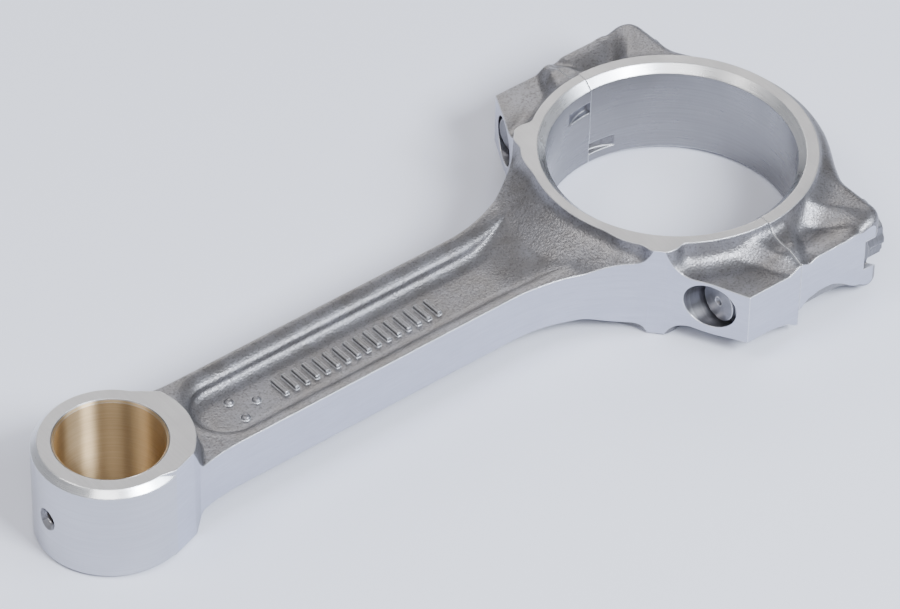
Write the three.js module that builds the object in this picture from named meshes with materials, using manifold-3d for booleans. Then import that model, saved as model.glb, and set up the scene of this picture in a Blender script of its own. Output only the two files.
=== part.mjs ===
// Two-piece forged I-beam connecting rod with a bolted cap, in millimetres.
// +X runs from the pin end to the cap, +Y across the big end, +Z along both bores.
// Shapes are drawn with x = 0 at the crank bore's centre, which is also where the cap
// parts from the rod, and with z = 0 half way up the machined width. The group at the
// end moves the origin to the middle of the underside.

import * as THREE from "three";
import { mergeVertices } from "three/addons/utils/BufferGeometryUtils.js";
import Module from "manifold-3d";

// Machined sizes
const CENTRES = 155.575; // pin bore to crank bore
const WIDTH = 23.876; // both ends, face to face
const CRANK_BORE_R = 28.257;
const RING_R = 32.4; // outside of the ring round the crank bore
const CRANK_CHAMFER = 1.85; // at the top face
const CRANK_LEAD_IN = 0.8; // at the bottom face
const PIN_END_R = 17;
const PIN_END_CHAMFER = 1.5; // at the top face
const PIN_END_BREAK = 0.3; // at the bottom face
const PIN_BORE_R = 12;
const BUSH_R = 12.6;
const BUSH_LEAD_IN = 0.5;
const PARTING_GAP = 0.02;
const ROUND_CLEARANCE = 0.1; // between a round piece and its hole

// Forged sizes: heights are half thicknesses about the forging's own middle
const FORGING_MID = -0.7;
const BEAM_HALF_WIDTH = 12;
const BEAM_HALF_HEIGHT = 6.2;
const WEB_HALF_HEIGHT = 2;
const PAD_R = 18; // the pin end's face on the beam side, where it keeps its forged edge
const FLANGE_TOP_WIDTH = 2.6;
const CHANNEL_DRAFT = 3.4; // how far a channel wall leans in on its way down
const CHANNEL_START = -CENTRES + 19.6;
const CHANNEL_END = -43;
const FORK_HALF_HEIGHT = 6.5;
const RIDGE_HALF_HEIGHT = 9.3; // along the parting line
const RIDGE_SLOPE = 2; // how far its sides lean in on their way up
const SEAT_HALF_HEIGHT = 10.3; // round the screw seats
const SEAT_SLOPE = 2.5;
const CROWN_R = 36;

// Big end, seen from above
const BOSS_HALF_WIDTH = 44;
const SHOULDER_X = -14.9; // where the slanted shoulder meets the side of the boss
const CAP_END_X = 24.9;
const CAP_CORNER = 3;

// Cap screws, 7/16-20 with a 12-point head
const SCREW_Y = 35.7;
const SCREW_R = 5.5;
const SHANK_RELIEF = 0.6; // how much thinner the shank is between thread and seat
const SHANK_RELIEF_X = [3, 16];
const SCREW_LENGTH = 35.56; // under the head
const SEAT_X = 19;
const SPOTFACE_R = 9.2;
const SPOTFACE_HALF_HEIGHT = 8.5; // flattened, so that the forging stays closed over the head
const FLANGE_R = 8.1;
const FLANGE_HEIGHT = 2.4;
const HEAD_HEIGHT = 7.5;
const HEAD_POINT_R = 7.25;
const HEAD_VALLEY_R = 6.5;
const HEAD_POINTS = 12;
const SLEEVE_R = 6.5;
const SLEEVE_WALL = 0.7;
const SLEEVE_HALF_LENGTH = 4;
const SLEEVE_END_ROOM = 0.4;

// Small features
const TANG_WIDTH = 3.2;
const TANG_CUTTER_R = 11.3;
const TANG_CUTTER_Y = 18.5;
const ROD_TANG_Z = 5.1;
const CAP_TANG_Z = -7.3;
const OIL_HOLE_R = 1.6;
const OIL_SINK_R = 2.8;
const OIL_HOLE_Z = -1.4;

const FACE = WIDTH / 2;
const FINE = 72; // sides of the large round features
const COARSE = 32; // sides of the small ones
const FAR = 100; // longer than anything that a cut has to pass through

const wasm = await Module();
wasm.setup();

// ---- Solids from three.js geometry ----

function solid(geometry) {
  geometry.deleteAttribute("normal");
  geometry.deleteAttribute("uv");
  const merged = mergeVertices(geometry, 1e-4);
  return new wasm.Manifold(
    new wasm.Mesh({
      numProp: 3,
      vertProperties: merged.attributes.position.array,
      triVerts: new Uint32Array(merged.index.array),
    }),
  );
}

function geometryOf(shape) {
  const { vertProperties, triVerts } = shape.getMesh();
  const geometry = new THREE.BufferGeometry();
  geometry.setAttribute("position", new THREE.BufferAttribute(vertProperties, 3));
  geometry.setIndex(new THREE.BufferAttribute(triVerts, 1));
  geometry.computeVertexNormals();
  return geometry;
}

function joined(...shapes) {
  return shapes.reduce((sum, shape) => sum.add(shape));
}

// A closed outline from above, between two heights.
function prism(outline, low, high) {
  const geometry = new THREE.ExtrudeGeometry(new THREE.Shape(outline), {
    depth: high - low,
    bevelEnabled: false,
  });
  return solid(geometry.translate(0, 0, low));
}

// A forged swelling: an outline that leans in towards its top and its underside.
function swelling(outline, halfHeight, slope) {
  const geometry = new THREE.ExtrudeGeometry(new THREE.Shape(outline), {
    depth: 2 * FORK_HALF_HEIGHT,
    bevelThickness: halfHeight - FORK_HALF_HEIGHT,
    bevelSize: slope,
    bevelOffset: -slope,
    bevelSegments: 1,
  });
  return solid(geometry.translate(0, 0, FORGING_MID - FORK_HALF_HEIGHT));
}

// A profile of (radius, height), turned about Z through (x, y, z).
function turned(profile, sides, x = 0, y = 0, z = 0) {
  const points = profile.map(([r, h]) => new THREE.Vector2(r, h));
  const geometry = new THREE.LatheGeometry(points, sides).rotateX(Math.PI / 2);
  return solid(geometry.translate(x, y, z));
}

// A profile of (radius, distance along X), turned about a line parallel to X.
function turnedAlongX(profile, sides, x, y, z = 0) {
  const points = profile.map(([r, h]) => new THREE.Vector2(r, h));
  const geometry = new THREE.LatheGeometry(points, sides).rotateZ(-Math.PI / 2);
  return solid(geometry.translate(x, y, z));
}

function cylinderProfile(radius, low, high) {
  return [[0, low], [radius, low], [radius, high], [0, high]];
}

// Points given for y > 0 from one end to the other, closed round the other side.
function mirrored(points) {
  const across = points.map((p) => new THREE.Vector2(p.x, -p.y)).reverse();
  return [...points, ...across];
}

function at(x, y) {
  return new THREE.Vector2(x, y);
}

// ---- Outlines from above ----

function rodOutline() {
  const neck = new THREE.CubicBezierCurve(
    at(-CENTRES + 4.4, 16.42),
    at(-CENTRES + 10.4, 14.82),
    at(-CENTRES + 15.5, BEAM_HALF_WIDTH),
    at(-CENTRES + 26, BEAM_HALF_WIDTH),
  );
  const flank = new THREE.CubicBezierCurve(
    at(-56, BEAM_HALF_WIDTH),
    at(-44, BEAM_HALF_WIDTH),
    at(-33.5, 16.5),
    at(-25, 25.3),
  );
  return mirrored([
    at(-CENTRES, 10),
    ...neck.getPoints(6),
    ...flank.getPoints(12),
    at(-23.2, 27.5),
    at(SHOULDER_X, BOSS_HALF_WIDTH),
    at(-PARTING_GAP / 2, BOSS_HALF_WIDTH),
  ]).reverse();
}

function capOutline() {
  const corner = new THREE.QuadraticBezierCurve(
    at(CAP_END_X - CAP_CORNER, BOSS_HALF_WIDTH),
    at(CAP_END_X, BOSS_HALF_WIDTH),
    at(CAP_END_X, BOSS_HALF_WIDTH - CAP_CORNER),
  );
  const crown = [];
  for (let degrees = 38; degrees >= 2; degrees -= 6) {
    const angle = THREE.MathUtils.degToRad(degrees);
    crown.push(at(CROWN_R * Math.cos(angle), CROWN_R * Math.sin(angle)));
  }
  crown.push(at(CROWN_R, 0.5));
  return mirrored([
    at(PARTING_GAP / 2, BOSS_HALF_WIDTH),
    ...corner.getPoints(4),
    at(CAP_END_X, 30),
    ...crown,
  ]).reverse();
}

// The patches of the machined face that spread outwards from the ring, one each side.
function tabOutline(side) {
  const points = [
    [-12, 22], [-16.5, 27.3], [-20, 27.9], [-23.5, 26.9], [-26.2, 24.5],
    [-28.3, 22], [-28.5, 18.6], [-30.5, 11], [-22, 8],
  ].map(([x, y]) => at(x, side * y));
  return side > 0 ? points.reverse() : points;
}

// ---- Shared shapes ----

// Rod or cap side of the parting line, as a block to intersect with.
function halfSpace(side) {
  const near = (side * PARTING_GAP) / 2;
  const far = side * 2 * FAR;
  const block = new THREE.BoxGeometry(Math.abs(far - near), 2 * FAR, 2 * FAR);
  return solid(block.translate((near + far) / 2, 0, 0));
}

function ring() {
  return turned(cylinderProfile(RING_R, -FACE, FACE), FINE);
}

// The forged slope that leads up to the ring.
function ringFoot() {
  const topR = RING_R + 1.4;
  const footR = RING_R + 7;
  const topZ = 9.6;
  const footZ = FORK_HALF_HEIGHT - 0.5;
  return turned([
    [0, -topZ],
    [topR, -topZ],
    [footR, -footZ],
    [footR, footZ],
    [topR, topZ],
    [0, topZ],
  ], FINE);
}

function crankBore() {
  const past = 1;
  return turned([
    [0, -FACE - past],
    [CRANK_BORE_R + CRANK_LEAD_IN + past, -FACE - past],
    [CRANK_BORE_R, -FACE + CRANK_LEAD_IN],
    [CRANK_BORE_R, FACE - CRANK_CHAMFER],
    [CRANK_BORE_R + CRANK_CHAMFER + past, FACE + past],
    [0, FACE + past],
  ], FINE);
}

function tangSlot(z) {
  const profile = cylinderProfile(TANG_CUTTER_R, -TANG_WIDTH / 2, TANG_WIDTH / 2);
  return turned(profile, FINE, 0, TANG_CUTTER_Y, z);
}

function screwHoles() {
  return [-1, 1].map((side) => {
    const shank = cylinderProfile(SCREW_R + ROUND_CLEARANCE * 1.5, -FAR, FAR);
    const sleeveEnd = SLEEVE_HALF_LENGTH + SLEEVE_END_ROOM;
    const sleeve = cylinderProfile(SLEEVE_R + ROUND_CLEARANCE, -sleeveEnd, sleeveEnd);
    const y = side * SCREW_Y;
    return turnedAlongX(shank, COARSE, 0, y).add(turnedAlongX(sleeve, COARSE, 0, y));
  });
}

function oilHole() {
  const outside = PIN_END_R + 1;
  const sinkDepth = OIL_SINK_R - OIL_HOLE_R;
  return turnedAlongX([
    [0, -outside],
    [OIL_SINK_R + 1, -outside],
    [OIL_HOLE_R, -PIN_END_R + sinkDepth],
    [OIL_HOLE_R, 0],
    [0, 0],
  ], 16, -CENTRES, 0, OIL_HOLE_Z);
}

// ---- Pieces ----

// One side of the I-beam's channel, with leaning walls and round ends.
function channel(face) {
  const reach = BEAM_HALF_WIDTH - FLANGE_TOP_WIDTH;
  const depth = BEAM_HALF_HEIGHT - WEB_HALF_HEIGHT;
  const past = 1;
  const slot = new THREE.Shape();
  slot.absarc(CHANNEL_START + reach, 0, reach, Math.PI / 2, (3 * Math.PI) / 2);
  slot.absarc(CHANNEL_END - reach, 0, reach, -Math.PI / 2, Math.PI / 2);
  const geometry = new THREE.ExtrudeGeometry(slot, {
    depth: past,
    bevelThickness: depth,
    bevelSize: CHANNEL_DRAFT,
    bevelOffset: -CHANNEL_DRAFT,
    bevelSegments: 1,
    curveSegments: 12,
  });
  geometry.translate(0, 0, WEB_HALF_HEIGHT + depth);
  if (face < 0) geometry.rotateX(Math.PI);
  return solid(geometry.translate(0, 0, FORGING_MID));
}

// The ridge along the parting line is wide at the ring and narrow at the side.
function partingRidge(side) {
  const outline = [
    at(-9.7, side * 27),
    at(9.7, side * 27),
    at(4.5, side * (BOSS_HALF_WIDTH + RIDGE_SLOPE)),
    at(-4.5, side * (BOSS_HALF_WIDTH + RIDGE_SLOPE)),
  ];
  return swelling(side > 0 ? outline : outline.reverse(), RIDGE_HALF_HEIGHT, RIDGE_SLOPE);
}

// The thick end of the cap's boss, which the screw seat is cut into.
function seatSwelling(side) {
  const outline = [
    at(9, side * 29),
    at(CAP_END_X + SEAT_SLOPE, side * 20),
    at(CAP_END_X + SEAT_SLOPE, side * (BOSS_HALF_WIDTH + SEAT_SLOPE)),
    at(16.5, side * (BOSS_HALF_WIDTH + SEAT_SLOPE)),
  ];
  return swelling(side > 0 ? outline : outline.reverse(), SEAT_HALF_HEIGHT, SEAT_SLOPE);
}

function slabAboutMiddle(halfHeight) {
  return solid(new THREE.BoxGeometry(4 * FAR, 4 * FAR, 2 * halfHeight));
}

function slab(outline, halfHeight) {
  return prism(outline, FORGING_MID - halfHeight, FORGING_MID + halfHeight);
}

function rodBody() {
  const pinEnd = turned([
    [0, -FACE],
    [PIN_END_R - PIN_END_BREAK, -FACE],
    [PIN_END_R, -FACE + PIN_END_BREAK],
    [PIN_END_R, FACE - PIN_END_CHAMFER],
    [PIN_END_R - PIN_END_CHAMFER, FACE],
    [0, FACE],
  ], FINE, -CENTRES);
  const plan = prism(rodOutline(), -FACE, FACE);
  const pad = turned(cylinderProfile(PAD_R, -FACE, FACE), FINE, -CENTRES);
  const tabs = [-1, 1].map((side) => prism(tabOutline(side), -FACE, FACE));
  const swellings = joined(ring(), ringFoot(), partingRidge(1), partingRidge(-1), ...tabs);
  const pinBore = cylinderProfile(BUSH_R + ROUND_CLEARANCE, -FAR, FAR);
  let body = slab(rodOutline(), BEAM_HALF_HEIGHT).add(swellings.intersect(plan));
  body = body.subtract(joined(channel(1), channel(-1)));
  body = joined(body, pinEnd, pad.intersect(plan)).intersect(halfSpace(-1));
  body = body.subtract(turned(pinBore, FINE, -CENTRES));
  return body.subtract(joined(crankBore(), tangSlot(ROD_TANG_Z), oilHole(), ...screwHoles()));
}

function rodCap() {
  const plan = prism(capOutline(), -FACE, FACE);
  const swellings = [-1, 1].flatMap((side) => [partingRidge(side), seatSwelling(side)]);
  const roofs = slabAboutMiddle(SPOTFACE_HALF_HEIGHT);
  const spotfaces = [-1, 1].map((side) =>
    turnedAlongX(cylinderProfile(SPOTFACE_R, SEAT_X, FAR), COARSE, 0, side * SCREW_Y),
  ).map((cut) => cut.intersect(roofs));
  let body = joined(ringFoot(), ring(), ...swellings).intersect(plan);
  body = body.add(slab(capOutline(), FORK_HALF_HEIGHT)).intersect(halfSpace(1));
  return body.subtract(joined(crankBore(), tangSlot(CAP_TANG_Z), ...screwHoles(), ...spotfaces));
}

function pinBushing() {
  const inner = PIN_BORE_R;
  const chamfered = inner + BUSH_LEAD_IN;
  const tube = turned([
    [inner, -FACE + BUSH_LEAD_IN],
    [chamfered, -FACE],
    [BUSH_R, -FACE],
    [BUSH_R, FACE],
    [chamfered, FACE],
    [inner, FACE - BUSH_LEAD_IN],
    [inner, -FACE + BUSH_LEAD_IN],
  ], FINE, -CENTRES);
  return tube.subtract(oilHole());
}

function alignmentSleeve(side) {
  const bore = SLEEVE_R - SLEEVE_WALL;
  return turnedAlongX([
    [bore, -SLEEVE_HALF_LENGTH],
    [SLEEVE_R, -SLEEVE_HALF_LENGTH],
    [SLEEVE_R, SLEEVE_HALF_LENGTH],
    [bore, SLEEVE_HALF_LENGTH],
    [bore, -SLEEVE_HALF_LENGTH],
  ], COARSE, 0, side * SCREW_Y);
}

function twelvePointHead() {
  const outline = [];
  for (let i = 0; i < 2 * HEAD_POINTS; i += 1) {
    const angle = (i * Math.PI) / HEAD_POINTS;
    const radius = i % 2 ? HEAD_VALLEY_R : HEAD_POINT_R;
    outline.push(at(radius * Math.cos(angle), radius * Math.sin(angle)));
  }
  return new THREE.Shape(outline);
}

function capScrew(side) {
  const tip = SEAT_X - SCREW_LENGTH;
  const tipChamfer = 1;
  const headTop = SEAT_X + HEAD_HEIGHT;
  const dimpleR = 1.2;
  const [reliefLow, reliefHigh] = SHANK_RELIEF_X;
  const y = side * SCREW_Y;
  const shank = turnedAlongX([
    [0, tip + 0.6],
    [dimpleR, tip],
    [SCREW_R - tipChamfer, tip],
    [SCREW_R, tip + tipChamfer],
    [SCREW_R, reliefLow],
    [SCREW_R - SHANK_RELIEF, reliefLow + 1],
    [SCREW_R - SHANK_RELIEF, reliefHigh - 1],
    [SCREW_R, reliefHigh],
    [SCREW_R, SEAT_X],
    [FLANGE_R, SEAT_X],
    [FLANGE_R, SEAT_X + FLANGE_HEIGHT - 0.8],
    [FLANGE_R - 0.8, SEAT_X + FLANGE_HEIGHT],
    [0, SEAT_X + FLANGE_HEIGHT],
  ], COARSE, 0, y);
  const points = new THREE.ExtrudeGeometry(twelvePointHead(), {
    depth: HEAD_HEIGHT - 1,
    bevelEnabled: false,
  });
  points.rotateY(Math.PI / 2).translate(SEAT_X + 1, y, 0);
  const dish = turnedAlongX([
    [0, headTop - 1],
    [3, headTop - 1],
    [4, headTop + 1],
    [0, headTop + 1],
  ], 16, 0, y);
  return shank.add(solid(points)).subtract(dish);
}

// ---- The object ----

const forgedSteel = { color: 0x85858a, roughness: 0.5, metalness: 1 };
const bronze = { color: 0xb98a55, roughness: 0.3, metalness: 1 };
const screwSteel = { color: 0x6e7076, roughness: 0.4, metalness: 1 };
const sleeveSteel = { color: 0xa5a7ad, roughness: 0.35, metalness: 1 };

function piece(name, shape, finish) {
  const mesh = new THREE.Mesh(geometryOf(shape), new THREE.MeshStandardMaterial(finish));
  mesh.name = name;
  return mesh;
}

const rod = new THREE.Group();
rod.add(piece("rod_body", rodBody(), forgedSteel));
rod.add(piece("rod_cap", rodCap(), forgedSteel));
rod.add(piece("pin_bushing", pinBushing(), bronze));
for (const [name, side] of [["left", 1], ["right", -1]]) {
  rod.add(piece("cap_screw_" + name, capScrew(side), screwSteel));
  rod.add(piece("alignment_sleeve_" + name, alignmentSleeve(side), sleeveSteel));
}
rod.position.set((CENTRES + PIN_END_R - CROWN_R) / 2, 0, FACE);

export default rod;
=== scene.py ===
# The looks of a forged I-beam connecting rod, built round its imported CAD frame.
# Shapes are worked out in millimetres in the rod's own layout, with x = 0 on the parting
# line, y = 0 on the beam's centre line and z = 0 half way up the machined width, and are
# moved into the frame, in metres, when each piece is finished.

import math

import bpy
import numpy as np
from mathutils import Matrix, Vector


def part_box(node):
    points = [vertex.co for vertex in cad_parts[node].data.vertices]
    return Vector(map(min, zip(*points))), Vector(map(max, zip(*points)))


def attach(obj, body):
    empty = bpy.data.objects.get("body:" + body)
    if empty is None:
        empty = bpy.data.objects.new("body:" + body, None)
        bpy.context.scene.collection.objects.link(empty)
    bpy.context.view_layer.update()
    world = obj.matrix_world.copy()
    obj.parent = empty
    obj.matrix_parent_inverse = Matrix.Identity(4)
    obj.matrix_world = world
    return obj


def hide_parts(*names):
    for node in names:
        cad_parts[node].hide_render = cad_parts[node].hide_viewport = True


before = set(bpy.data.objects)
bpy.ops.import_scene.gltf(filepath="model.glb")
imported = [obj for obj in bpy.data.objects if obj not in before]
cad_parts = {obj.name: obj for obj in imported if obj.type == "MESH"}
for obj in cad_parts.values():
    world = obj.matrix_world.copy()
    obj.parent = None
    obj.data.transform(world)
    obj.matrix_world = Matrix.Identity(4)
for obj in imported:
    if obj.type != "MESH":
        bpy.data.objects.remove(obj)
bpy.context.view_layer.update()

# ---- Driving sizes, in millimetres ----

MM = 0.001


def millimetres(node):
    low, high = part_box(node)
    return np.array(low) / MM, np.array(high) / MM


ROD_LOW, ROD_HIGH = millimetres("rod_body")
CAP_LOW, CAP_HIGH = millimetres("rod_cap")
BUSH_LOW, BUSH_HIGH = millimetres("pin_bushing")
SCREW_LOW, SCREW_HIGH = millimetres("cap_screw_left")
SLEEVE_LOW, SLEEVE_HIGH = millimetres("alignment_sleeve_left")

# The layout's origin, as a place in the frame
HOME = np.array([(ROD_HIGH[0] + CAP_LOW[0]) / 2, 0.0, (ROD_LOW[2] + ROD_HIGH[2]) / 2])

FACE = (ROD_HIGH[2] - ROD_LOW[2]) / 2
PIN_X = (BUSH_LOW[0] + BUSH_HIGH[0]) / 2 - HOME[0]
PIN_END_R = PIN_X - (ROD_LOW[0] - HOME[0])
BUSH_R = (BUSH_HIGH[1] - BUSH_LOW[1]) / 2
PIN_BORE_R = 12.0
BOSS_HALF_WIDTH = ROD_HIGH[1]
CROWN_R = CAP_HIGH[0] - HOME[0]
SCREW_Y = (SCREW_LOW[1] + SCREW_HIGH[1]) / 2
SCREW_TIP_X = SCREW_LOW[0] - HOME[0]
HEAD_TOP_X = SCREW_HIGH[0] - HOME[0]
FLANGE_R = (SCREW_HIGH[1] - SCREW_LOW[1]) / 2
SLEEVE_R = (SLEEVE_HIGH[1] - SLEEVE_LOW[1]) / 2
SLEEVE_HALF_LENGTH = (SLEEVE_HIGH[0] - SLEEVE_LOW[0]) / 2

CRANK_BORE_R = 28.257
RING_R = 32.4
CRANK_CHAMFER = 1.85
ROD_CHAMFER, CAP_CHAMFER = CRANK_CHAMFER + 0.12, CRANK_CHAMFER - 0.05
CRANK_LEAD_IN = 0.8
CAP_PROUD = 0.3
PAD_R = 18.0
PIN_END_CHAMFER = 1.5
PARTING_HALF_GAP = 0.045

# The forging: levels are half thicknesses, measured from its own middle
FORGING_MID = -0.7
BEAM_HALF_WIDTH = 12.0
BEAM_HALF_HEIGHT = 6.2
WEB_HALF_HEIGHT = 2.0
FORK_HALF_HEIGHT = 6.5
COLLAR_TOP = 12.9
PAD_TOP = 13.4
CREST_RISE = 3.0
SEAT_RISE = 3.9
FLANGE_LIP, CHANNEL_WALL = 0.7, 6.8
CHANNEL_ROUND_X = PIN_X + 30.6
BOSS_ROOT_Y = 26
CAP_END_X = 24.9
CAP_CORNER = 4.6
SHOULDER_X = -14.9

# Circles as (x, y, radius): the tabs that widen the ring land towards the beam
OUTER_TAB = (-22, 22.3, 4.45)
INNER_TAB = (-20, 14, 9.45)

# Slow rises of the forging as (start, length), along x, or outwards along y
CHANNEL_RUN_OUT_X = (-53, 18)
FORK_X = (-50, 12)
HOOD_BEHIND_X, HOOD_Y = (4, 6), (BOSS_ROOT_Y, 4)
CAP_SIDE_X, CAP_SIDE_Y = (1, 4), (34, 9)
CAP_TIP_X, CAP_TIP_Y = (13, 8), (33, 6)
CREST_FALL_Y = (39, 5)
ROD_FOOT_X, ROD_FOOT_Y = (-9, 8), (33, 6)
UNDERCUT_X, UNDERCUT_END_X, UNDERCUT_Y = (0, 6), (8, 13), (40.5, 3.5)

# Holes, seats and slots
SCREW_R = 5.5
HOLE_R = 5.65
SEAT_X = 19.0
SPOTFACE_R = 9.2
SEAT_ROOF = 8.5
THREAD_PITCH = 1.27
OIL_HOLE_R = 1.6
OIL_SINK_R = 2.8
OIL_HOLE_Z = -1.4
TANG_R, TANG_Y, TANG_HALF_WIDTH = 11.3, 18.5, 1.6
ROD_TANG_Z, CAP_TANG_Z = 5.1, -7.3
BUSH_CLEARANCE = 0.02
SLEEVE_CLEARANCE = 0.1

# The bars and pips on the web
MARK_START, MARK_PITCH, MARK_COUNT = -110.5, 2.8, 16
MARK_WIDTH, MARK_TALL, MARK_PROUD = 1.0, 5.2, 0.85
MARK_ROOT = 0.5
PIP_R, PIP_HEIGHT = 1.1, 0.88
PIPS = ((PIN_X + 33.5, 3), (PIN_X + 33.5, -3), (PIN_X + 38.7, 0))

# The grid that the forging is worked out on, how far it reaches past the machined faces,
# how far cutting tools reach, and how many sides the large and small rounds have
GRID = 0.42
STOCK = 1.5
FAR = 60
SMOOTH_SIDES = 240
HOLE_SIDES = 96


# ---- Curves and soft steps ----

def soft_max(a, b, reach):
    """The larger of a and b, with a fillet where they differ by less than reach."""
    h = np.clip(0.5 + 0.5 * (a - b) / reach, 0, 1)
    return b + (a - b) * h + reach * h * (1 - h)


def soft_min(a, b, reach):
    return -soft_max(-a, -b, reach)


def ease(t):
    """0 to 1 with level ends."""
    t = np.clip(t, 0, 1)
    return t * t * (3 - 2 * t)


def rise(value, span):
    """0 up to the start of span, 1 past its length, with level ends."""
    start, length = span
    return ease((value - start) / length)


def forged_wall(t):
    """0 to 1 as two quarter rounds that meet in a steep wall."""
    t = np.clip(t, 0, 1) * 0.994 + 0.003
    low = 0.5 - np.sqrt(np.maximum(0.25 - np.minimum(t, 0.5) ** 2, 0))
    high = 0.5 + np.sqrt(np.maximum(0.25 - (1 - np.maximum(t, 0.5)) ** 2, 0))
    round_walls = np.where(t < 0.5, low, high)
    return 0.8 * round_walls + 0.2 * t


def bezier(points, count):
    """count points on a quadratic or cubic Bezier curve."""
    pts = np.array(points, float)
    t = np.linspace(0, 1, count)[:, None]
    while len(pts) > 1:
        pts = [a * (1 - t) + b * t for a, b in zip(pts[:-1], pts[1:])]
    return pts[0]


FLANK = bezier([
    (-56, BEAM_HALF_WIDTH),
    (-44, BEAM_HALF_WIDTH),
    (-33.5, 16.5),
    (-25, 25.3),
], 40)
NECK = bezier([
    (PIN_X + 4.4, 16.42),
    (PIN_X + 10.4, 14.82),
    (PIN_X + 15.5, BEAM_HALF_WIDTH),
    (PIN_X + 26, BEAM_HALF_WIDTH),
], 20)
SHOULDER = bezier([(-25, 25.3), (-23.6, 26.9), (-22.6, 28.9)], 8)[1:]


# ---- The forging's half thickness over its plan ----

# u is the distance from the centre line, so each formula serves both sides.

def past_circle(x, u, circle):
    """Distance outwards from a circle."""
    centre_x, centre_u, radius = circle
    return np.hypot(x - centre_x, u - centre_u) - radius


def ring_land(x, u):
    """Distance outwards from the machined land round the crank bore, tabs included."""
    fillet = 1.5
    ring = np.hypot(x, u) - RING_R - np.where(x > 0, CAP_PROUD, 0)
    tabs = soft_min(past_circle(x, u, OUTER_TAB), past_circle(x, u, INNER_TAB), fillet)
    return soft_min(ring, tabs, fillet)


def channel_depth(x, u):
    """0 on the flanges, 1 on the web."""
    flank = np.interp(x, FLANK[:, 0], FLANK[:, 1])
    slope = np.interp(x, FLANK[:-1, 0], np.diff(FLANK[:, 1]) / np.diff(FLANK[:, 0]))
    from_side = (flank - u) / np.hypot(1, slope)
    from_end = BEAM_HALF_WIDTH - np.hypot(np.minimum(x - CHANNEL_ROUND_X, 0), u)
    inwards = np.where(x < CHANNEL_ROUND_X, from_end, from_side)
    fade = 1 - rise(x, CHANNEL_RUN_OUT_X)
    return forged_wall((inwards - FLANGE_LIP) / CHANNEL_WALL) * fade


def parting_ridge(x, u):
    """0 to 1 up the ridge that runs out along the parting line and narrows on its way."""
    root, length, furthest = 31, 13, 1.2
    top_at_root, top_loss = 5.0, 4.6
    foot_at_root, foot_loss, rod_side_extra = 8.6, 5.6, 2.4
    round_foot, round_all = 0.6, 1.0
    outwards = np.clip((u - root) / length, 0, furthest)
    top = top_at_root - top_loss * outwards
    foot = foot_at_root - foot_loss * outwards
    foot = foot + np.where(x < 0, rod_side_extra * (1 - outwards), 0)
    return ease((foot + round_foot - np.abs(x)) / (foot + round_all - top))


def seat_swelling(x, u):
    """0 to 1 up the thick end of the cap's boss, across a slanted line in the plan."""
    line_x, line_u = 15.3, 36.6
    uphill_x, uphill_u = 0.74, -0.67
    half_width = 2.6
    across = (x - line_x) * uphill_x + (u - line_u) * uphill_u
    return rise(across, (-half_width, 2 * half_width))


def boss_level(x, u):
    """The forging's level outside the ring: fork, pockets, ridges and seats."""
    hood_width, hood_height = 5, 0.55
    side_height, tip_height, crest_fall = 1.6, 1.5, 1.5
    level = BEAM_HALF_HEIGHT + (FORK_HALF_HEIGHT - BEAM_HALF_HEIGHT) * rise(x, FORK_X)
    over_screw = np.exp(-(((u - SCREW_Y) / hood_width) ** 2))
    over_screw = over_screw * rise(-x, HOOD_BEHIND_X) * rise(u, HOOD_Y)
    level = level + hood_height * over_screw
    level = level + side_height * rise(u, CAP_SIDE_Y) * rise(x, CAP_SIDE_X)
    level = level + tip_height * rise(x, CAP_TIP_X) * rise(u, CAP_TIP_Y)
    crest = FORK_HALF_HEIGHT + CREST_RISE - crest_fall * rise(u, CREST_FALL_Y)
    up_to_crest = parting_ridge(x, u) * np.maximum(crest - level, 0)
    level = level + np.where(u > BOSS_ROOT_Y, up_to_crest, 0)
    up_to_seat = seat_swelling(x, u) * np.maximum(FORK_HALF_HEIGHT + SEAT_RISE - level, 0)
    return level + np.where(x > 0, up_to_seat, 0)


def underside_step(x, u):
    """How much lower than its mirror image the underside of a boss is by the parting line."""
    foot, step, deeper = 1.2, 3.0, 2.8
    rod_foot = foot * rise(x, ROD_FOOT_X) * rise(u, ROD_FOOT_Y)
    undercut = step + deeper * rise(x, UNDERCUT_X) - (step + deeper) * rise(x, UNDERCUT_END_X)
    return np.where(x < 0, rod_foot, -undercut * rise(u, UNDERCUT_Y))


def pin_pad(x, u):
    """The level of the drafted pad round the pin end."""
    draft, ceiling = 5.5, 15
    return np.minimum(PAD_TOP - draft * (np.hypot(x - PIN_X, u) - PAD_R), ceiling)


def ring_collar(x, u):
    """1 at the ring land's edge, 0 past the slopes that run down from it, more than 1 inside."""
    beam_cosine = (0.72, 0.2)
    steep_reach, inside_slope, limit = 0.5, 1.16, 1.6
    out = ring_land(x, u)
    towards_beam = rise(-x / np.maximum(np.hypot(x, u), 1), beam_cosine)
    reach = 5.5 + 3.5 * towards_beam
    power = 1.8 - 0.4 * towards_beam
    share = 0.5 + 0.2 * towards_beam
    slow = np.clip(1 - out / reach, 0, 1) ** power
    steep = np.exp(-np.maximum(out, 0) / steep_reach)
    outside = share * slow + (1 - share) * steep
    return np.minimum(np.where(out < 0, 1 - inside_slope * out, outside), limit)


def forging_height(x, y):
    """The forging's half thickness at a place in its plan."""
    pad_fillet = 3.0
    u = np.abs(y)
    level = boss_level(x, u)
    level = level - channel_depth(x, u) * (level - WEB_HALF_HEIGHT)
    level = soft_max(level, pin_pad(x, u), pad_fillet)
    return level + (COLLAR_TOP - level) * ring_collar(x, u)


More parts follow.
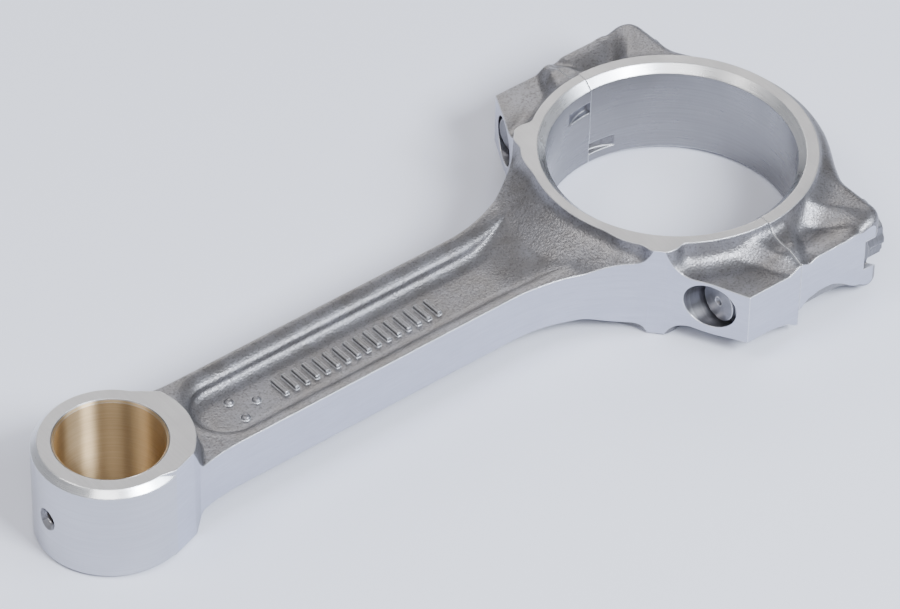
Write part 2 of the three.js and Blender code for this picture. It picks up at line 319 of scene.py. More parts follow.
def cap_edge(x, y):
    """Distance outwards from the cap's forged outline."""
    side_stock = 0.3
    boss_root, gusset_root = 22, 14
    gusset_x, gusset_u, gusset_out, gusset_inset = 0.894, 0.447, 35.6, 0.2
    boss_fillet, gusset_fillet = 1.5, 1.0
    u = np.abs(y)
    crown = np.hypot(x, u) - CROWN_R
    corner = np.hypot(
        np.maximum(x - CAP_END_X + CAP_CORNER, 0),
        np.maximum(u - BOSS_HALF_WIDTH - side_stock + CAP_CORNER, 0),
    ) - CAP_CORNER
    boss = np.maximum(corner, boss_root - u)
    gusset = gusset_x * x + gusset_u * u - gusset_out
    gusset = np.maximum(gusset, gusset_root - u) + gusset_inset
    return soft_min(soft_min(crown, boss, boss_fillet), gusset, gusset_fillet)


# ---- Surfaces from a field on a grid ----

def surface_of(field, low, high, step):
    """The field's zero surface as welded quads, with corners moved onto the surface."""
    axes = [np.arange(a, b + step, step) for a, b in zip(low, high)]
    shape = [len(a) for a in axes]
    x, y = np.meshgrid(axes[0], axes[1], indexing="ij")
    values = field(x[:, :, None], y[:, :, None], axes[2][None, None, :])
    inside = values < 0
    corners = [(i, j, k) for i in (0, 1) for j in (0, 1) for k in (0, 1)]

    def cell(array, at):
        return array[tuple(slice(a, n - 1 + a) for a, n in zip(at, shape))]

    count = sum(cell(inside, c).astype(np.int8) for c in corners)
    mixed = (count > 0) & (count < 8)
    cells = np.argwhere(mixed)
    number = np.full(mixed.shape, -1, np.int64)
    number[mixed] = np.arange(len(cells))

    total = np.zeros((len(cells), 3))
    hits = np.zeros(len(cells))
    for axis in range(3):
        for start in [c for c in corners if c[axis] == 0]:
            end = tuple(v + (a == axis) for a, v in enumerate(start))
            a = values[tuple((cells + start).T)]
            b = values[tuple((cells + end).T)]
            crossed = (a < 0) != (b < 0)
            t = np.where(crossed, a / np.where(crossed, a - b, 1), 0)
            point = cells + np.array(start, float)
            point[:, axis] += t
            total[crossed] += point[crossed]
            hits[crossed] += 1
    vertices = np.array([a[0] for a in axes]) + total / hits[:, None] * step

    faces = []
    for axis in range(3):
        ahead = [slice(None)] * 3
        behind = [slice(None)] * 3
        ahead[axis], behind[axis] = slice(1, None), slice(None, -1)
        change = inside[tuple(behind)].astype(np.int8) - inside[tuple(ahead)]
        edges = np.argwhere(change != 0)
        p, q = [a for a in range(3) if a != axis]
        limits = np.array(mixed.shape)
        keep = (edges[:, p] > 0) & (edges[:, q] > 0)
        keep &= (edges[:, p] < limits[p]) & (edges[:, q] < limits[q])
        edges = edges[keep]
        outward = change[tuple(edges.T)] > 0
        ring = []
        for dp, dq in ((0, 0), (1, 0), (1, 1), (0, 1)):
            c = edges.copy()
            c[:, p] -= dp
            c[:, q] -= dq
            ring.append(number[tuple(c.T)])
        quads = np.stack(ring, 1)
        turn = outward if axis != 1 else ~outward
        quads[~turn] = quads[~turn][:, ::-1]
        faces.append(quads)

    def value(v):
        return field(v[:, 0], v[:, 1], v[:, 2])

    tiny, rounds, furthest = 0.01, 4, 0.2
    for _ in range(rounds):
        here = value(vertices)
        slope = np.stack([
            (value(vertices + tiny * unit) - here) / tiny for unit in np.eye(3)
        ], 1)
        size = np.maximum((slope ** 2).sum(1), 1)
        move = -slope * (here / size)[:, None]
        length = np.linalg.norm(move, axis=1, keepdims=True)
        vertices = vertices + move * np.minimum(1, furthest / np.maximum(length, 1e-9))
    return vertices, np.concatenate(faces)


def mesh_of(name, vertices, faces):
    mesh = bpy.data.meshes.new(name)
    corners = [tuple(v) for v in vertices]
    mesh.from_pydata(corners, [], [tuple(int(i) for i in f) for f in faces])
    mesh.update()
    return mesh


# ---- Solids to cut and join with ----

def prism(outline, low, high):
    """A closed outline, anticlockwise from above, between two heights."""
    n = len(outline)
    vertices = [(x, y, z) for z in (low, high) for x, y in outline]
    faces = [list(range(n))[::-1], list(range(n, 2 * n))]
    faces += [[i, (i + 1) % n, n + (i + 1) % n, n + i] for i in range(n)]
    return mesh_of("prism", vertices, faces)


def turned(profile, sides, centre=(0, 0, 0), along="z"):
    """Rows of (radius, height) turned about an axis. A radius of 0 closes an end.

    A radius may be a list with one number for each side, for sections that aren't round.
    """
    angle = np.arange(sides) * 2 * np.pi / sides
    vertices, rows = [], []
    for radius, height in profile:
        start = len(vertices)
        if np.ndim(radius) == 0 and radius == 0:
            rows.append([start])
            vertices.append((0, 0, height))
            continue
        rows.append(range(start, start + sides))
        level = angle * 0 + height
        ring = np.stack([radius * np.cos(angle), radius * np.sin(angle), level], 1)
        vertices.extend(ring.tolist())
    pairs = list(zip(rows[:-1], rows[1:]))
    if len(rows[0]) > 1 and len(rows[-1]) > 1:
        pairs.append((rows[-1], rows[0]))
    faces = []
    for low, high in pairs:
        for i in range(sides):
            j = (i + 1) % sides
            if len(low) == 1:
                faces.append([low[0], high[j], high[i]])
            elif len(high) == 1:
                faces.append([low[i], low[j], high[0]])
            else:
                faces.append([low[i], low[j], high[j], high[i]])
    v = np.array(vertices, float)
    if along == "x":
        v = v[:, [2, 0, 1]]
    return mesh_of("turned", v + np.array(centre, float), faces)


def combine(base, tool, operation):
    """base with tool joined, cut away or intersected, as a new mesh."""
    objects = []
    for mesh in (base, tool):
        o = bpy.data.objects.new("work", mesh)
        bpy.context.scene.collection.objects.link(o)
        objects.append(o)
    modifier = objects[0].modifiers.new("combine", "BOOLEAN")
    modifier.operation = operation
    modifier.object = objects[1]
    modifier.solver = "MANIFOLD"
    evaluated = objects[0].evaluated_get(bpy.context.evaluated_depsgraph_get())
    result = bpy.data.meshes.new_from_object(evaluated)
    for o in objects:
        bpy.data.objects.remove(o)
    if not len(result.polygons):
        raise RuntimeError("a boolean step left nothing")
    return result


def cut(base, *tools):
    for tool in tools:
        base = combine(base, tool, "DIFFERENCE")
    return base


# ---- Outlines ----

def both_sides(points):
    """Points for y > 0, then their mirror images, as one closed anticlockwise outline."""
    points = np.array(points, float)
    mirror = (points * [1, -1])[::-1]
    return np.concatenate([points, mirror])[::-1]


def rod_outline():
    """Starts and ends inside the pin end, which is joined on as a plain cylinder."""
    start = [(PIN_X, BEAM_HALF_WIDTH)]
    boss = [(SHOULDER_X, BOSS_HALF_WIDTH), (-PARTING_HALF_GAP, BOSS_HALF_WIDTH)]
    return both_sides(np.concatenate([start, NECK, FLANK, SHOULDER, boss]))


def cap_outline():
    """Past the crown, where the forging's own edge is the limit."""
    past_crown = CROWN_R + 3
    return both_sides([(PARTING_HALF_GAP, BOSS_HALF_WIDTH), (past_crown, BOSS_HALF_WIDTH)])


# ---- Tools that both halves share ----

def crank_bore(chamfer):
    """The bore with its top chamfer and the smaller break below."""
    past, sides = 2, 288
    return turned([
        (0, -FACE - past),
        (CRANK_BORE_R + CRANK_LEAD_IN + past, -FACE - past),
        (CRANK_BORE_R, -FACE + CRANK_LEAD_IN),
        (CRANK_BORE_R, FACE - chamfer),
        (CRANK_BORE_R + chamfer + past, FACE + past),
        (0, FACE + past),
    ], sides)


def cylinder(radius, low, high, sides, centre, along="z"):
    profile = [(0, low), (radius, low), (radius, high), (0, high)]
    return turned(profile, sides, centre, along)


def tang_slot(z):
    low, high = z - TANG_HALF_WIDTH, z + TANG_HALF_WIDTH
    return cylinder(TANG_R, low, high, HOLE_SIDES, (0, TANG_Y, 0))


def screw_hole(side):
    """The screw's hole right through, with the sleeve's counterbores and a broken lip."""
    end_gap, lip = 0.4, 0.35
    sleeve_r = SLEEVE_R + SLEEVE_CLEARANCE
    end = SLEEVE_HALF_LENGTH + end_gap
    return turned([
        (0, -FAR),
        (HOLE_R, -FAR),
        (HOLE_R, -end),
        (sleeve_r, -end),
        (sleeve_r, end),
        (HOLE_R, end),
        (HOLE_R, SEAT_X - lip),
        (HOLE_R + lip, SEAT_X),
        (HOLE_R + lip, FAR),
        (0, FAR),
    ], HOLE_SIDES, (0, side * SCREW_Y, 0), "x")


def oil_hole():
    """The hole and its countersink, from outside the pin end to its middle."""
    past, sink_depth, sides = 2, 1.2, 48
    outside = PIN_END_R + past
    return turned([
        (0, -outside),
        (OIL_SINK_R + past, -outside),
        (OIL_HOLE_R, -PIN_END_R + sink_depth),
        (OIL_HOLE_R, 0),
        (0, 0),
    ], sides, (PIN_X, 0, OIL_HOLE_Z), "x")


# ---- The pieces ----

def forged_blank(edge=None):
    """A field for the forging, rounded off at the distance that edge gives, if any."""
    edge_round = 2.8

    def field(x, y, z):
        below = np.where(z < FORGING_MID, underside_step(x, np.abs(y)), 0)
        over = np.abs(z - FORGING_MID) - forging_height(x, y) - below
        if edge is None:
            return over
        return soft_max(over, edge(x, y) + 0 * z, edge_round)
    return field


def block_ends(y, z):
    """How far a point is past the sawn sides and faces of the raw block."""
    return np.maximum(np.abs(y) - BOSS_HALF_WIDTH - 1, np.abs(z) - FACE - 1)


def rod_body_mesh():
    low = (PIN_X + 1, -BOSS_HALF_WIDTH - 2, -FACE - STOCK)
    high = (STOCK, BOSS_HALF_WIDTH + 2, FACE + STOCK)

    def field(x, y, z):
        over = forged_blank()(x, y, z)
        sides = np.maximum(low[0] + 1 - x, x - high[0] + 1)
        return np.maximum(over, np.maximum(sides + 0 * z, block_ends(y, z)))

    blank = mesh_of("blank", *surface_of(field, low, high, GRID))
    body = combine(blank, prism(rod_outline(), -FACE, FACE), "INTERSECT")
    body = combine(body, pin_end_cylinder(), "UNION")
    body = cut(body, pin_end_chamfer())
    for mark in raised_marks():
        body = combine(body, mark, "UNION")
    bush_seat = cylinder(BUSH_R + BUSH_CLEARANCE, -FAR, FAR, SMOOTH_SIDES, (PIN_X, 0, 0))
    body = cut(body, bush_seat, crank_bore(ROD_CHAMFER), tang_slot(ROD_TANG_Z), oil_hole())
    return cut(body, screw_hole(1), screw_hole(-1))


def rod_cap_mesh():
    low = (-STOCK, -BOSS_HALF_WIDTH - 2, -FACE - STOCK)
    high = (CROWN_R + STOCK, BOSS_HALF_WIDTH + 2, FACE + STOCK)

    def field(x, y, z):
        over = forged_blank(cap_edge)(x, y, z)
        return np.maximum(over, np.maximum(low[0] + 1 - x + 0 * z, block_ends(y, z)))

    blank = mesh_of("blank", *surface_of(field, low, high, GRID))
    body = combine(blank, prism(cap_outline(), -FACE, FACE), "INTERSECT")
    body = cut(body, crank_bore(CAP_CHAMFER), tang_slot(CAP_TANG_Z))
    body = cut(body, spotface(1), spotface(-1))
    return cut(body, screw_hole(1), screw_hole(-1))


def spotface(side):
    """A tool for the cutter's seat under a screw head, with a flat floor and roof."""
    wide, sides = 90, 128
    cutter = cylinder(SPOTFACE_R, SEAT_X, FAR, sides, (0, side * SCREW_Y, 0), "x")
    roof = prism([(0, -wide), (wide, -wide), (wide, wide), (0, wide)], -SEAT_ROOF, SEAT_ROOF)
    return combine(cutter, roof, "INTERSECT")


def pin_end_cylinder():
    bottom_break = 0.3
    return turned([
        (0, -FACE),
        (PIN_END_R - bottom_break, -FACE),
        (PIN_END_R, -FACE + bottom_break),
        (PIN_END_R, FACE),
        (0, FACE),
    ], SMOOTH_SIDES, (PIN_X, 0, 0))


def pin_end_chamfer():
    """A tool for the pin end's top chamfer, which fades out at a tangent on each side.

    Each stop is an angle from the beam's direction, on the side where y is above or below 0.
    """
    stops = ((1, 38), (-1, 86))
    reach, past, fade_length, fade_out, half_depth = 4.0, 40, 12, 3, 8
    inner = PIN_END_R - PIN_END_CHAMFER
    outer = inner + reach
    cone = turned([
        (inner, FACE),
        (outer, FACE - reach),
        (outer, FACE + 1),
        (inner - 1, FACE + 1),
    ], SMOOTH_SIDES, (PIN_X, 0, 0))
    centre = np.array([PIN_X, 0.0])
    ends = []
    for side, stop in stops:
        stop = math.radians(stop)
        outwards = np.array([math.cos(stop), side * math.sin(stop)])
        towards_beam = np.array([math.sin(stop), -side * math.cos(stop)])
        start = centre + inner * outwards
        fade = start + fade_length * towards_beam + fade_out * outwards
        ends.append([start, fade, fade + past * outwards])
    behind = [centre + [-past, past], centre + [-past, -past]]
    outline = [centre, *ends[0], *behind, *ends[1][::-1]]
    return combine(cone, prism(outline, FACE - half_depth, FACE + half_depth), "INTERSECT")


def raised_marks():
    """Plain upright bars and three domed pips, rooted in the web."""
    web = FORGING_MID + WEB_HALF_HEIGHT
    for i in range(MARK_COUNT):
        x = MARK_START + i * MARK_PITCH
        yield tapered_block(x, 0, MARK_WIDTH / 2, MARK_TALL / 2, web - MARK_ROOT, web + MARK_PROUD)
    last_angle, steps, sides = 1.4, 6, 24
    dome = [
        (PIP_R * math.cos(angle), web + PIP_HEIGHT * math.sin(angle))
        for angle in np.linspace(0, last_angle, steps)
    ]
    foot = [(0, web - MARK_ROOT), (PIP_R, web - MARK_ROOT)]
    for x, y in PIPS:
        yield turned([*foot, *dome, (0, web + PIP_HEIGHT)], sides, (x, y, 0))


def tapered_block(x, y, half_x, half_y, low, high):
    """A block with drafted sides and a rounded-over top."""
    rows = ((0.12, low), (0.05, high - 0.18), (-0.1, high))
    vertices = []
    for grow, z in rows:
        a, b = half_x + grow, half_y + grow
        vertices += [(x - a, y - b, z), (x + a, y - b, z), (x + a, y + b, z), (x - a, y + b, z)]
    faces = [[3, 2, 1, 0], [8, 9, 10, 11]]
    for row in (0, 4):
        for i in range(4):
            j = (i + 1) % 4
            faces.append([row + i, row + j, row + 4 + j, row + 4 + i])
    return mesh_of("block", vertices, faces)


def bushing_mesh():
    outer_break, bore_chamfer = 0.15, 0.5
    low, high = BUSH_LOW[2] - HOME[2], BUSH_HIGH[2] - HOME[2]
    bush = turned([
        (PIN_BORE_R + bore_chamfer, low),
        (BUSH_R - outer_break, low),
        (BUSH_R, low + outer_break),
        (BUSH_R, high - outer_break),
        (BUSH_R - outer_break, high),
        (PIN_BORE_R + bore_chamfer, high),
        (PIN_BORE_R, high - bore_chamfer),
        (PIN_BORE_R, low + bore_chamfer),
    ], SMOOTH_SIDES, (PIN_X, 0, 0))
    return cut(bush, oil_hole())


def sleeve_mesh(side):
    wall, end_break, outer_break, inner_break = 0.7, 0.3, 0.25, 0.2
    inside, end = SLEEVE_R - wall, SLEEVE_HALF_LENGTH
    return turned([
        (inside, -end + end_break),
        (inside + inner_break, -end),
        (SLEEVE_R - outer_break, -end),
        (SLEEVE_R, -end + end_break),
        (SLEEVE_R, end - end_break),
        (SLEEVE_R - outer_break, end),
        (inside + inner_break, end),
        (inside, end - end_break),
    ], HOLE_SIDES, (0, side * SCREW_Y, 0), "x")


def twelve_point(point_r, sides):
    """Radii of two hexagons laid over each other, a twelfth of a turn apart."""
    flat = point_r * math.cos(math.radians(30))
    angle = np.arange(sides) * 360 / sides
    hexagons = [flat / np.cos(np.radians((angle + turn) % 60 - 30)) for turn in (0, 30)]
    return np.maximum(*hexagons)


def thread(x, sides):
    """Radii round a screw thread at one place along it."""
    depth, flank, crest = 0.72, 1.25, 0.12
    turns = x / THREAD_PITCH - np.arange(sides) / sides
    ramp = np.abs((turns % 1) * 2 - 1)
    return SCREW_R - depth * np.clip(flank * ramp - crest, 0, 1)


def screw_tip():
    """The centre dimple and the flat end round it."""
    end = SCREW_TIP_X
    return [(0, end + 1.0), (0.6, end + 0.7), (1.05, end), (4.6, end)]


def screw_thread(start, end, sides):
    """The thread, an eighth of a turn at a time, tapering in over its first turns."""
    start_r, taper = 5.25, 0.4
    for x in np.arange(start, end, THREAD_PITCH / 8):
        yield np.minimum(thread(x, sides), start_r + taper * (x - start)), x


def screw_shank(start):
    waist_r = 4.85
    return [
        (waist_r, start),
        (waist_r, SEAT_X - 2.4),
        (SCREW_R - 0.15, SEAT_X - 1.6),
        (SCREW_R - 0.05, SEAT_X),
    ]


def screw_head(sides):
    """The flange, the twelve points and the dished top."""
    top = HEAD_TOP_X
    star = twelve_point(7.25, sides)
    flange = [
        (FLANGE_R - 0.2, SEAT_X),
        (FLANGE_R, SEAT_X + 0.2),
        (FLANGE_R, SEAT_X + 1.3),
        (FLANGE_R - 0.25, SEAT_X + 1.6),
    ]
    points = [
        (star + 0.3, SEAT_X + 2.3),
        (star, SEAT_X + 2.8),
        (star, top - 0.9),
        (np.minimum(star, 6.9), top - 0.35),
        (np.minimum(star, 6.2), top),
    ]
    dish = [(3.2, top), (2.6, top - 0.5), (0, top - 0.8)]
    return flange + points + dish


def screw_mesh(side):
    sides = 144
    thread_start, thread_end, run_out = SCREW_TIP_X + 0.75, 4.0, 0.3
    rows = screw_tip()
    rows += screw_thread(thread_start, thread_end, sides)
    rows += screw_shank(thread_end + run_out)
    rows += screw_head(sides)
    return turned(rows, sides, (0, side * SCREW_Y, 0), "x")


# ---- Materials ----

def srgb(*values):
    """Display values from 11 to 255 as the linear colour that a shader takes."""
    return tuple(((v / 255 + 0.055) / 1.055) ** 2.4 for v in values) + (1,)


class Shader:
    """A metal's node tree, with short calls for the nodes that the finishes share."""

    def __init__(self, name, metallic=1.0):
        self.material = bpy.data.materials.new(name)
        self.material.use_nodes = True
        self.tree = self.material.node_tree
        self.principled = self.tree.nodes["Principled BSDF"]
        self.principled.inputs["Metallic"].default_value = metallic
        self.principled.inputs["IOR"].default_value = 1.5
        self.place = self.add("ShaderNodeTexCoord").outputs["Object"]

    def add(self, kind, **settings):
        node = self.tree.nodes.new(kind)
        for key, value in settings.items():
            setattr(node, key, value)
        return node

    def put(self, socket, value):
        if isinstance(value, bpy.types.NodeSocket):
            self.tree.links.new(value, socket)
        else:
            socket.default_value = value

    def grain(self, size, detail=3.0, rough=0.55, seed=0.0):
        """Noise from 0 to 1, with features of size (x, y, z) millimetres."""
        mapping = self.add("ShaderNodeMapping")
        mapping.inputs["Scale"].default_value = [1 / (MM * s) for s in size]
        mapping.inputs["Location"].default_value = [seed, seed * 1.7, seed * 0.6]
        self.put(mapping.inputs["Vector"], self.place)
        noise = self.add("ShaderNodeTexNoise")
        noise.inputs["Scale"].default_value = 1.0
        noise.inputs["Detail"].default_value = detail
        noise.inputs["Roughness"].default_value = rough
        self.put(noise.inputs["Vector"], mapping.outputs["Vector"])
        return noise.outputs["Fac"]

    def dents(self, size):
        """0 in the middle of each peened dent, 1 on the ridges between them."""
        voronoi = self.add("ShaderNodeTexVoronoi", feature="SMOOTH_F1")
        voronoi.inputs["Scale"].default_value = 1 / (MM * size)
        voronoi.inputs["Smoothness"].default_value = 0.6
        self.put(voronoi.inputs["Vector"], self.place)
        return voronoi.outputs["Distance"]

    def spread(self, value, low, high, to_low=0.0, to_high=1.0):
        """value from low to high becomes to_low to to_high, and stays between them."""
        node = self.add("ShaderNodeMapRange")
        for socket, number in zip(node.inputs[1:5], (low, high, to_low, to_high)):
            socket.default_value = number
        self.put(node.inputs[0], value)
        return node.outputs[0]

    def maths(self, operation, a, b):
        node = self.add("ShaderNodeMath", operation=operation)
        self.put(node.inputs[0], a)
        self.put(node.inputs[1], b)
        return node.outputs[0]

    def mix(self, amount, a, b):
        node = self.add("ShaderNodeMix", data_type="RGBA")
        self.put(node.inputs["Factor"], amount)
        self.put(node.inputs[6], a)
        self.put(node.inputs[7], b)
        return node.outputs[2]

    def edges(self, radius):
        """1 along edges that handling has polished and that also carry a painted highlight, 0 away
        from them, and the rounded normal.
        """
        cosine_flat, cosine_edge = 0.995, 0.86
        bevel = self.add("ShaderNodeBevel", samples=6)
        bevel.inputs["Radius"].default_value = radius * MM
        geometry = self.add("ShaderNodeNewGeometry")
        dot = self.add("ShaderNodeVectorMath", operation="DOT_PRODUCT")
        self.put(dot.inputs[0], bevel.outputs["Normal"])
        self.put(dot.inputs[1], geometry.outputs["Normal"])
        edge_wear_and_highlight = self.spread(dot.outputs["Value"], cosine_flat, cosine_edge)
        return edge_wear_and_highlight, bevel.outputs["Normal"]

    def bump(self, height, depth, normal=None):
        node = self.add("ShaderNodeBump")
        node.inputs["Strength"].default_value = 1.0
        node.inputs["Distance"].default_value = depth * MM
        self.put(node.inputs["Height"], height)
        if normal is not None:
            self.put(node.inputs["Normal"], normal)
        return node.outputs["Normal"]

    def finish(self, colour, roughness, normal):
        self.put(self.principled.inputs["Base Color"], colour)
        self.put(self.principled.inputs["Roughness"], roughness)
        self.put(self.principled.inputs["Normal"], normal)
        return self.material


def forged_finish():
    """Shot-peened forging skin: grey, grainy, with faint oxide clouds, and edges lightened partly
    by handling wear and partly as a painted highlight.
    """
    cloud_size, speck_size, fine_size, dent_size, edge_round = 9, 0.55, 0.22, 0.55, 0.6
    dark, light = srgb(120, 118, 119), srgb(137, 137, 143)
    # The near white that edges take is partly real handling wear and partly a painted highlight.
    oxide, edge_wear_and_highlight_colour = srgb(98, 96, 98), srgb(216, 218, 224)
    relief_depth = 0.07
    s = Shader("forged_skin", metallic=0.9)
    clouds = s.grain([cloud_size] * 3, 4, 0.6)
    specks = s.grain([speck_size] * 3, 2, 0.6, 3)
    fine = s.grain([fine_size] * 3, 2, 0.5, 5)
    dents = s.dents(dent_size)
    edge_wear_and_highlight, normal = s.edges(edge_round)
    tone = s.mix(s.spread(clouds, 0.35, 0.65), dark, light)
    tone = s.mix(s.spread(specks, 0.5, 0.68, 0, 0.8), tone, oxide)
    # Edges are lightened towards near white: partly real wear, partly a painted highlight along
    # the edge.
    tone = s.mix(s.maths("MULTIPLY", edge_wear_and_highlight, 0.85), tone, edge_wear_and_highlight_colour)
    rough = s.spread(s.maths("ADD", clouds, specks), 0.7, 1.3, 0.3, 0.42)
    relief = s.maths("ADD", s.maths("MULTIPLY", dents, 0.8), s.maths("MULTIPLY", fine, 0.7))
    return s.finish(tone, rough, s.bump(relief, relief_depth, normal))


def machined_finish(name, low, high, strokes, rough, depth=0.012, around=0.0):
    """A cut or ground surface whose fine marks run along the longest size in strokes.

    around is how strongly highlights are drawn out round the z axis, as a lathe's grain does.
    """
    cloud_size, pit_size, edge_round = 7.0, 0.3, 0.38
    # The near white that edges take is partly real handling wear and partly a painted highlight.
    edge_wear_and_highlight_colour = srgb(242, 243, 247)
    smoother, rougher = 0.05, 0.06
    s = Shader(name)
    lines = s.grain(strokes, 3, 0.6, 1)
    wide = s.grain([v * 3.1 for v in strokes], 2, 0.5, 4)
    clouds = s.grain([cloud_size] * 3, 3, 0.5, 7)
    pits = s.grain([pit_size] * 3, 1, 0.5, 9)
    edge_wear_and_highlight, normal = s.edges(edge_round)
    marks = s.maths("ADD", s.maths("MULTIPLY", lines, 0.6), s.maths("MULTIPLY", wide, 0.4))
    tone = s.mix(s.spread(marks, 0.36, 0.64), low, high)
    tone = s.mix(s.spread(clouds, 0.45, 0.75, 0, 0.35), tone, low)
    # Edges are lightened towards near white: partly real wear, partly a painted highlight along
    # the edge.
    tone = s.mix(s.maths("MULTIPLY", edge_wear_and_highlight, 0.8), tone, edge_wear_and_highlight_colour)
    patches = s.maths("ADD", marks, clouds)
    rough_now = s.spread(patches, 0.75, 1.25, rough - smoother, rough + rougher)
    if around:
        s.principled.inputs["Anisotropic"].default_value = around
        s.principled.inputs["Anisotropic Rotation"].default_value = 0.25
        tangent = s.add("ShaderNodeTangent", direction_type="RADIAL", axis="Z")
        s.put(s.principled.inputs["Tangent"], tangent.outputs["Tangent"])
    relief = s.maths("ADD", marks, s.maths("MULTIPLY", pits, 0.3))
    return s.finish(tone, rough_now, s.bump(relief, depth, normal))


FINISHES = {
    "forged": forged_finish(),
    "ground": machined_finish(
        "ground_face", srgb(184, 183, 185), srgb(195, 194, 196), (0.25, 9, 9), 0.42, 0.008
    ),
    # The milled grey is the steel's own; its blue tint is a painted reflection of the bluish floor
    # that the side faces look down on.
    "milled": machined_finish(
        "milled_side", srgb(182, 184, 197), srgb(193, 195, 208), (5, 5, 0.3), 0.38, 0.007
    ),
    "honed": machined_finish(
        "honed_bore", srgb(140, 139, 142), srgb(149, 149, 152), (14, 14, 0.16), 0.3, 0.008
    ),
    "turned": machined_finish(
        "turned_end", srgb(183, 184, 191), srgb(193, 194, 201), (16, 16, 0.2), 0.34, 0.006
    ),
    "chamfer": machined_finish(
        "bright_chamfer", srgb(216, 217, 221), srgb(230, 231, 234), (8, 8, 0.25), 0.28
    ),
    "drilled": machined_finish(
        "drilled_hole", srgb(150, 150, 155), srgb(176, 176, 182), (0.25, 8, 8), 0.34
    ),
    "bronze": machined_finish(
        "bronze_bore", srgb(190, 163, 124), srgb(205, 180, 142), (13, 13, 0.18), 0.47, 0.008, 1.0
    ),
    "screw": machined_finish(
        "screw_steel", srgb(112, 112, 116), srgb(140, 140, 146), (0.2, 2.5, 2.5), 0.36
    ),
    "sleeve": machined_finish(
        "sleeve_steel", srgb(170, 172, 178), srgb(196, 198, 204), (0.15, 6, 6), 0.26
    ),
}


def zones(mesh, rule, names):
    """Gives each face the finish that rule names for its centre and normal."""
    for name in names:
        mesh.materials.append(FINISHES[name])
    for face in mesh.polygons:
        face.material_index = names.index(rule(face.center, face.normal))


def steel_zone(c, n):
    """Which finish a face has, from its centre c and normal n in the rod's own layout.

    Machined faces are found by where they lie and how they face. What is left is forged.
    """
    near, close, square, slope = 0.02, 0.1, 0.99, 0.707
    u = abs(c.y)
    from_pin = math.hypot(c.x - PIN_X, c.y)
    from_crank = math.hypot(c.x, c.y)
    from_screw = math.hypot(u - SCREW_Y, c.z)
    axis_y = math.copysign(SCREW_Y, c.y)
    faces_screw = (n.y * (axis_y - c.y) - n.z * c.z) / max(from_screw, 1)
    on_side_face = abs(abs(c.z) - FACE) < near and abs(n.z) > square
    on_parting_line = abs(c.x) < close and abs(n.x) > square
    if on_side_face or on_parting_line:
        return "ground"
    on_boss_side = abs(u - BOSS_HALF_WIDTH) < near and abs(n.y) > square
    on_seat = abs(c.x - SEAT_X) < close and abs(n.x) > square and from_screw < SPOTFACE_R
    if on_boss_side or on_seat:
        return "milled"
    in_bore = from_crank < CRANK_BORE_R + close
    on_bore_wall = abs(from_crank - CRANK_BORE_R) < 0.04 and abs(n.z) < 0.05
    if in_bore and on_bore_wall:
        return "honed"
    # Faces just inside the bore circle other than the honed wall, the tang slots' walls among
    # them: on the cap they take the bright chamfer finish as a painted reflection, on the rod the
    # darker drilled finish as painted shade.
    if in_bore:
        return "drilled" if c.x < 0 else "chamfer"
    on_crank_chamfer = from_crank < CRANK_BORE_R + CRANK_CHAMFER + 0.2 and 0.6 < abs(n.z) < 0.8
    on_pin_chamfer = from_pin < PIN_END_R + 3 and c.z > FACE - 4 and abs(n.z - slope) < near
    if on_crank_chamfer or on_pin_chamfer:
        return "chamfer"
    upright_or_break = abs(n.z) < near or abs(n.z + slope) < 0.03
    if from_pin < PIN_END_R + near and upright_or_break:
        return "turned" if from_pin > BUSH_R + 0.5 else "drilled"
    outside_holes = abs(n.x) > 0.2 or from_screw > SLEEVE_R + 1
    if abs(n.z) < 0.004 and c.x < -close and outside_holes:
        return "milled"
    on_hole_wall = abs(n.x) < 0.75 and from_screw < SPOTFACE_R + near and faces_screw > 0.9
    on_hole_step = from_screw < SLEEVE_R + 0.15 and abs(n.x) > square
    if on_hole_wall or on_hole_step:
        return "drilled"
    if c.x > SEAT_X and abs(abs(c.z) - SEAT_ROOF) < near and abs(n.z) > square:
        return "milled"
    in_oil_hole = u < OIL_HOLE_R and c.x < PIN_X - BUSH_R and n.x > -0.98
    return "drilled" if in_oil_hole else "forged"


STEEL_ZONES = ["forged", "ground", "milled", "honed", "turned", "chamfer", "drilled"]


def place(name, mesh, body, replaced, finish=None):
    """A mesh becomes a piece of the object, with one finish or the forged parts' zones."""
    sharp_angle = 32
    mesh.materials.clear()
    if finish is None:
        zones(mesh, steel_zone, STEEL_ZONES)
    else:
        mesh.materials.append(FINISHES[finish])
    co = np.zeros(len(mesh.vertices) * 3)
    mesh.vertices.foreach_get("co", co)
    co = (co.reshape(-1, 3) + HOME) * MM
    mesh.vertices.foreach_set("co", co.ravel())
    mesh.name = name
    mesh.update()
    mesh.shade_smooth()
    mesh.set_sharp_from_angle(angle=math.radians(sharp_angle))
    piece = bpy.data.objects.new(name, mesh)
    bpy.context.scene.collection.objects.link(piece)
    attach(piece, body)
    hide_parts(replaced)


# ---- Camera, lights and floor ----

# The photo's view, as fitted to the rod's edges: degrees, metres and the lens in millimetres
VIEW_AZIMUTH, VIEW_ELEVATION, VIEW_ROLL = -39.60218, 41.49898, 1.1288
VIEW_DISTANCE, VIEW_SHIFT_RIGHT, VIEW_SHIFT_DOWN = 1.28268, 0.011062, 0.0032595
VIEW_TARGET = Vector((-9.645, 0, 23.876)) * MM
LENS, SENSOR_WIDTH = 236.76, 36
NEAREST, FURTHEST = 0.01, 20

WORLD_COLOUR, WORLD_STRENGTH = (0.95, 0.965, 1.0, 1), 0.5
FLOOR_HALF, FLOOR_GAP = 3.0, 0.0005


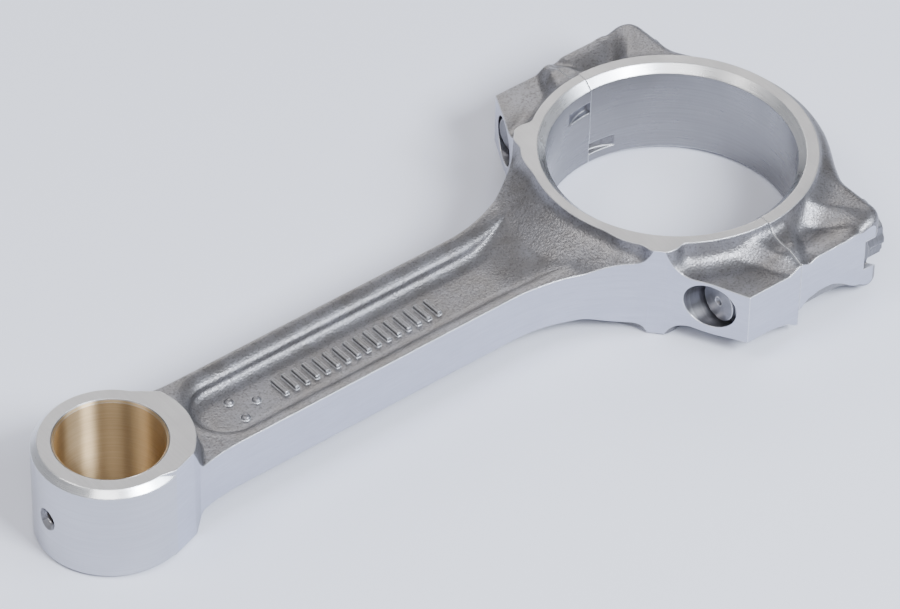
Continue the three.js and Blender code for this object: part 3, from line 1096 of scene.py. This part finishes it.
def make_camera():
    azimuth, elevation, roll = map(math.radians, (VIEW_AZIMUTH, VIEW_ELEVATION, VIEW_ROLL))
    back = Vector((
        math.sin(azimuth) * math.cos(elevation),
        -math.cos(azimuth) * math.cos(elevation),
        math.sin(elevation),
    ))
    level = Vector((0, 0, 1)).cross(back).normalized()
    upright = back.cross(level)
    right = level * math.cos(roll) + upright * math.sin(roll)
    up = back.cross(right)
    camera = bpy.data.objects.new("camera", bpy.data.cameras.new("camera"))
    camera.data.lens = LENS
    camera.data.sensor_width = SENSOR_WIDTH
    camera.data.clip_start, camera.data.clip_end = NEAREST, FURTHEST
    turn = Matrix((right, up, back)).transposed().to_4x4()
    eye = VIEW_TARGET + back * VIEW_DISTANCE
    eye = eye + right * VIEW_SHIFT_RIGHT - up * VIEW_SHIFT_DOWN
    camera.matrix_world = Matrix.Translation(eye) @ turn
    bpy.context.scene.collection.objects.link(camera)
    bpy.context.scene.camera = camera


def area_light(name, location, size, power, colour):
    """A rectangular lamp that faces the rod, with its size in metres and its power in watts."""
    light = bpy.data.lights.new(name, "AREA")
    light.shape = "RECTANGLE"
    light.size, light.size_y = size
    light.energy = power
    light.color = colour
    o = bpy.data.objects.new(name, light)
    o.location = location
    o.rotation_euler = (-Vector(location)).to_track_quat("-Z", "Y").to_euler()
    bpy.context.scene.collection.objects.link(o)


def make_studio():
    world = bpy.data.worlds.new("studio")
    world.use_nodes = True
    background = world.node_tree.nodes["Background"]
    background.inputs["Color"].default_value = WORLD_COLOUR
    background.inputs["Strength"].default_value = WORLD_STRENGTH
    bpy.context.scene.world = world
    area_light("key", (0.08, -0.9, 0.85), (0.36, 0.4), 22, (0.9, 0.95, 1.0))
    area_light("slopes", (0.62, -0.85, 0.85), (0.7, 0.35), 9, (0.84, 0.91, 1.0))
    area_light("front", (-0.85, -0.85, 1.25), (0.8, 0.45), 8, (1.0, 0.99, 0.98))
    area_light("fill", (-0.68, 0.3, 1.15), (0.4, 0.4), 5, (1.0, 0.97, 0.93))
    area_light("back", (0.6, 1.0, 0.7), (0.9, 0.5), 5, (1.0, 0.98, 0.95))
    make_floor()


def make_floor():
    """A sheet of paper, a hair below the rod."""
    half = FLOOR_HALF
    corners = [(-half, -half, 0), (half, -half, 0), (half, half, 0), (-half, half, 0)]
    floor = bpy.data.meshes.new("floor")
    floor.from_pydata(corners, [], [[0, 1, 2, 3]])
    material = bpy.data.materials.new("floor_paper")
    material.use_nodes = True
    shade = material.node_tree.nodes["Principled BSDF"]
    shade.inputs["Base Color"].default_value = srgb(226, 229, 243)
    shade.inputs["Roughness"].default_value = 0.85
    floor.materials.append(material)
    o = bpy.data.objects.new("floor", floor)
    bpy.context.scene.collection.objects.link(o)
    o.location.z = -FLOOR_GAP


# ---- The scene ----

make_camera()
make_studio()

place("rod_steel", rod_body_mesh(), "rod", "rod_body")
place("cap_steel", rod_cap_mesh(), "cap", "rod_cap")
place("bushing_bronze", bushing_mesh(), "rod", "pin_bushing", "bronze")
for side, word in ((1, "left"), (-1, "right")):
    screw, cad_screw = "screw_" + word, "cap_screw_" + word
    place(screw, screw_mesh(side), screw, cad_screw, "screw")
    sleeve, cad_sleeve = "sleeve_" + word, "alignment_sleeve_" + word
    place(sleeve, sleeve_mesh(side), "rod", cad_sleeve, "sleeve")
